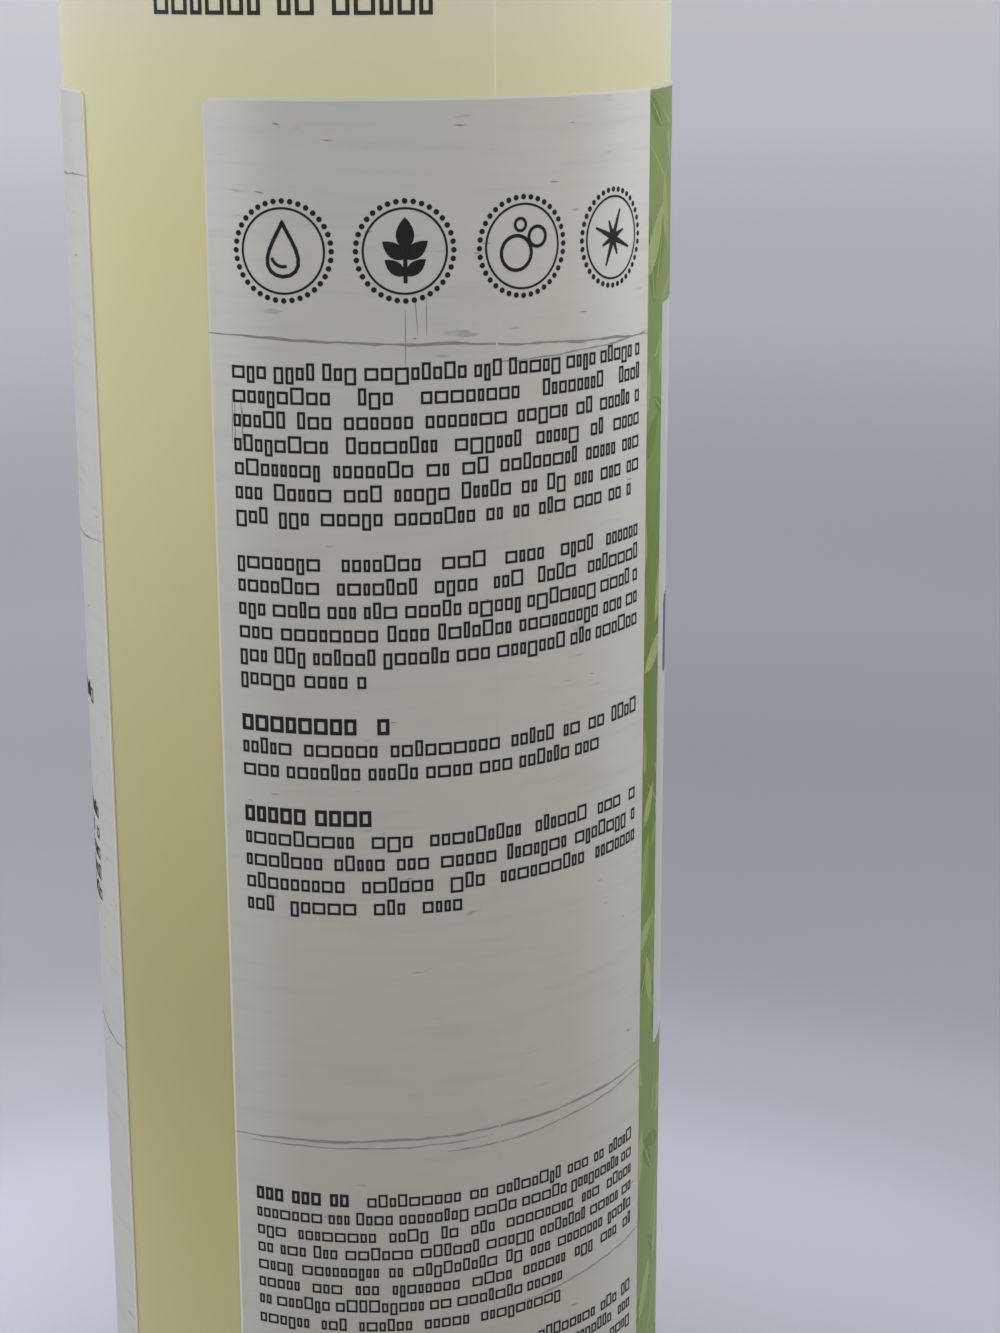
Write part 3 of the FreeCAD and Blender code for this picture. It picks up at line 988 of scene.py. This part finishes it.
# Floor and world are darker to the right, seen from the photographed side. How far right a
# place lies is a share of its distance from the axis, or of SHADE_RADIUS if it is nearer. The
# shade sets in over SHADE_SPAN, its strength goes from NEAR_SHADE to FAR_SHADE over SHADE_REACH,
# in metres, and above the horizon it is gone at the first height of SKY_FADE.
SHADE_SPAN = (-0.133, 0.120)
SHADE_RADIUS = 0.75
SHADE_REACH = (0.20, 0.60)
NEAR_SHADE = 0.28
FAR_SHADE = 0.16
SKY_FADE = (0.16, 0.0)

# Soft lamps: the place from the photographed side, the width and the power
LAMPS = {
    "left_lamp": ((-0.27, 0.04, 0.33), 0.24, 0.42),
    "right_lamp": ((0.27, 0.04, 0.33), 0.24, 0.46),
    "back_lamp": ((0.03, -0.50, 0.66), 0.50, 1.19),
    "front_lamp": ((0.0, 0.60, 0.70), 0.46, 0.92),
}
LAMP_TARGET = Vector((0, 0, 0.16))
WORLD_STRENGTH = 0.66


def side_of(nodes, x, y):
    """How far a place or direction lies to the right of the photographed side's middle."""
    spin = math.radians(BACK_TURN)
    return nodes.math("MULTIPLY_ADD", x, math.cos(spin), nodes.math("MULTIPLY", y, math.sin(spin)))


def disc(radii, count=72):
    """A flat round mesh of rings about the axis."""
    mesh = bmesh.new()
    angles = [2 * math.pi * i / count for i in range(count)]
    rows = [[mesh.verts.new((r * math.cos(a), r * math.sin(a), 0)) for a in angles] for r in radii]
    mesh.faces.new(rows[0])
    for inner, outer in zip(rows, rows[1:]):
        for i in range(count):
            j = (i + 1) % count
            mesh.faces.new((inner[i], outer[i], outer[j], inner[j]))
    return mesh


def floor_paint():
    """Matt paint with a painted pool of light near the bottle, a painted darker ring round it,
    paler far away, and painted shade on one side.
    """
    shader = Shader("floor", roughness=0.9, specular=0.1)
    x, y, _ = shader.split(shader.place())
    squares = [shader.math("MULTIPLY", part, part) for part in (x, y)]
    reach = shader.math("SQRT", shader.math("ADD", *squares))
    colour = FLOOR_LIGHT_TONES[0][1]
    for (low, _), (high, following) in zip(FLOOR_LIGHT_TONES, FLOOR_LIGHT_TONES[1:]):
        colour = shader.mix(shader.ramp(reach, low, high), colour, following)
    distance = shader.math("MAXIMUM", reach, SHADE_RADIUS)
    aside = shader.math("DIVIDE", side_of(shader, x, y), distance)
    far = shader.ramp(reach, *SHADE_REACH)
    strength = shader.math("MULTIPLY_ADD", far, FAR_SHADE - NEAR_SHADE, NEAR_SHADE)
    shade = shader.math("MULTIPLY", shader.ramp(aside, *SHADE_SPAN), strength)
    shader.colour(shader.mix(shade, colour, linear(92, 95, 104)))
    return shader.material


def floor():
    """A pale floor with a painted pool of light under the bottle, and paler far away."""
    piece = placed("floor", disc(FLOOR_RADII))
    give(piece, floor_paint())


def world():
    """Even studio light, and a pale background where the camera looks past the floor."""
    studio = bpy.data.worlds.new("studio")
    studio.use_nodes = True
    bpy.context.scene.world = studio
    nodes = Nodes(studio.node_tree)
    nodes.tree.nodes.clear()
    light = nodes.node("ShaderNodeBackground")
    light.inputs["Color"].default_value = linear(250, 250, 252)
    light.inputs["Strength"].default_value = WORLD_STRENGTH
    x, y, z = nodes.split(nodes.node("ShaderNodeTexCoord").outputs["Generated"])
    low = nodes.math("MULTIPLY", nodes.ramp(z, *SKY_FADE), FAR_SHADE)
    shade = nodes.math("MULTIPLY", nodes.ramp(side_of(nodes, x, y), *SHADE_SPAN), low)
    seen = nodes.node("ShaderNodeBackground")
    nodes.put(seen.inputs["Color"], nodes.mix(shade, linear(200, 204, 211), linear(76, 79, 86)))
    path = nodes.node("ShaderNodeLightPath")
    direct = path.outputs["Is Camera Ray"]
    for way in ("Is Glossy Ray", "Is Transmission Ray"):
        direct = nodes.math("MAXIMUM", direct, path.outputs[way])
    both = nodes.node("ShaderNodeMixShader")
    for socket, value in zip(both.inputs, (direct, light.outputs[0], seen.outputs[0])):
        nodes.put(socket, value)
    output = nodes.node("ShaderNodeOutputWorld")
    nodes.put(output.inputs[0], both.outputs[0])


def turned(right, away, up):
    """A point given from the photographed side: right, away from the camera, and up, in metres."""
    spin = Matrix.Rotation(math.radians(BACK_TURN), 4, "Z")
    return spin @ Vector((right, away, up))


def softbox(name, place, size, power):
    """A large soft lamp that faces the bottle's middle."""
    lamp = bpy.data.lights.new(name, "AREA")
    lamp.shape = "DISK"
    lamp.size = size
    lamp.energy = power
    piece = bpy.data.objects.new(name, lamp)
    piece.location = place
    piece.rotation_mode = "QUATERNION"
    piece.rotation_quaternion = (LAMP_TARGET - place).to_track_quat("-Z", "Y")
    piece.visible_camera = False
    bpy.context.scene.collection.objects.link(piece)


def lamps():
    """Soft lamps near the bottle: one on each side, and one high over the back and the front."""
    for name, (place, size, power) in LAMPS.items():
        softbox(name, turned(*place), size, power)


def camera():
    """The camera stands where the photograph was taken from."""
    pan, tilt, roll = (math.radians(a) for a in (CAMERA_PAN, CAMERA_TILT, CAMERA_ROLL))
    look = Vector((math.sin(pan) * math.cos(tilt), math.cos(pan) * math.cos(tilt), -math.sin(tilt)))
    right = look.cross(Vector((0, 0, 1))).normalized()
    down = look.cross(right)
    level_right = right * math.cos(roll) + down * math.sin(roll)
    level_up = right * math.sin(roll) - down * math.cos(roll)
    turn = Matrix((level_right, level_up, -look)).transposed().to_4x4()
    stand = Matrix.Translation((0, -CAMERA_DISTANCE, CAMERA_HEIGHT))
    data = bpy.data.cameras.new("camera")
    data.sensor_width = SENSOR_WIDTH
    data.lens = FOCAL_PIXELS * SENSOR_WIDTH / max(PHOTO_WIDTH, PHOTO_HEIGHT)
    data.clip_start = 0.01
    data.clip_end = 100.0
    piece = bpy.data.objects.new("camera", data)
    piece.matrix_world = Matrix.Rotation(math.radians(BACK_TURN), 4, "Z") @ stand @ turn
    bpy.context.scene.collection.objects.link(piece)
    bpy.context.scene.camera = piece


camera()
dress_solids()
dress_label()
dress_wall()
floor()
world()
lamps()
bpy.context.scene.view_settings.view_transform = "Standard"
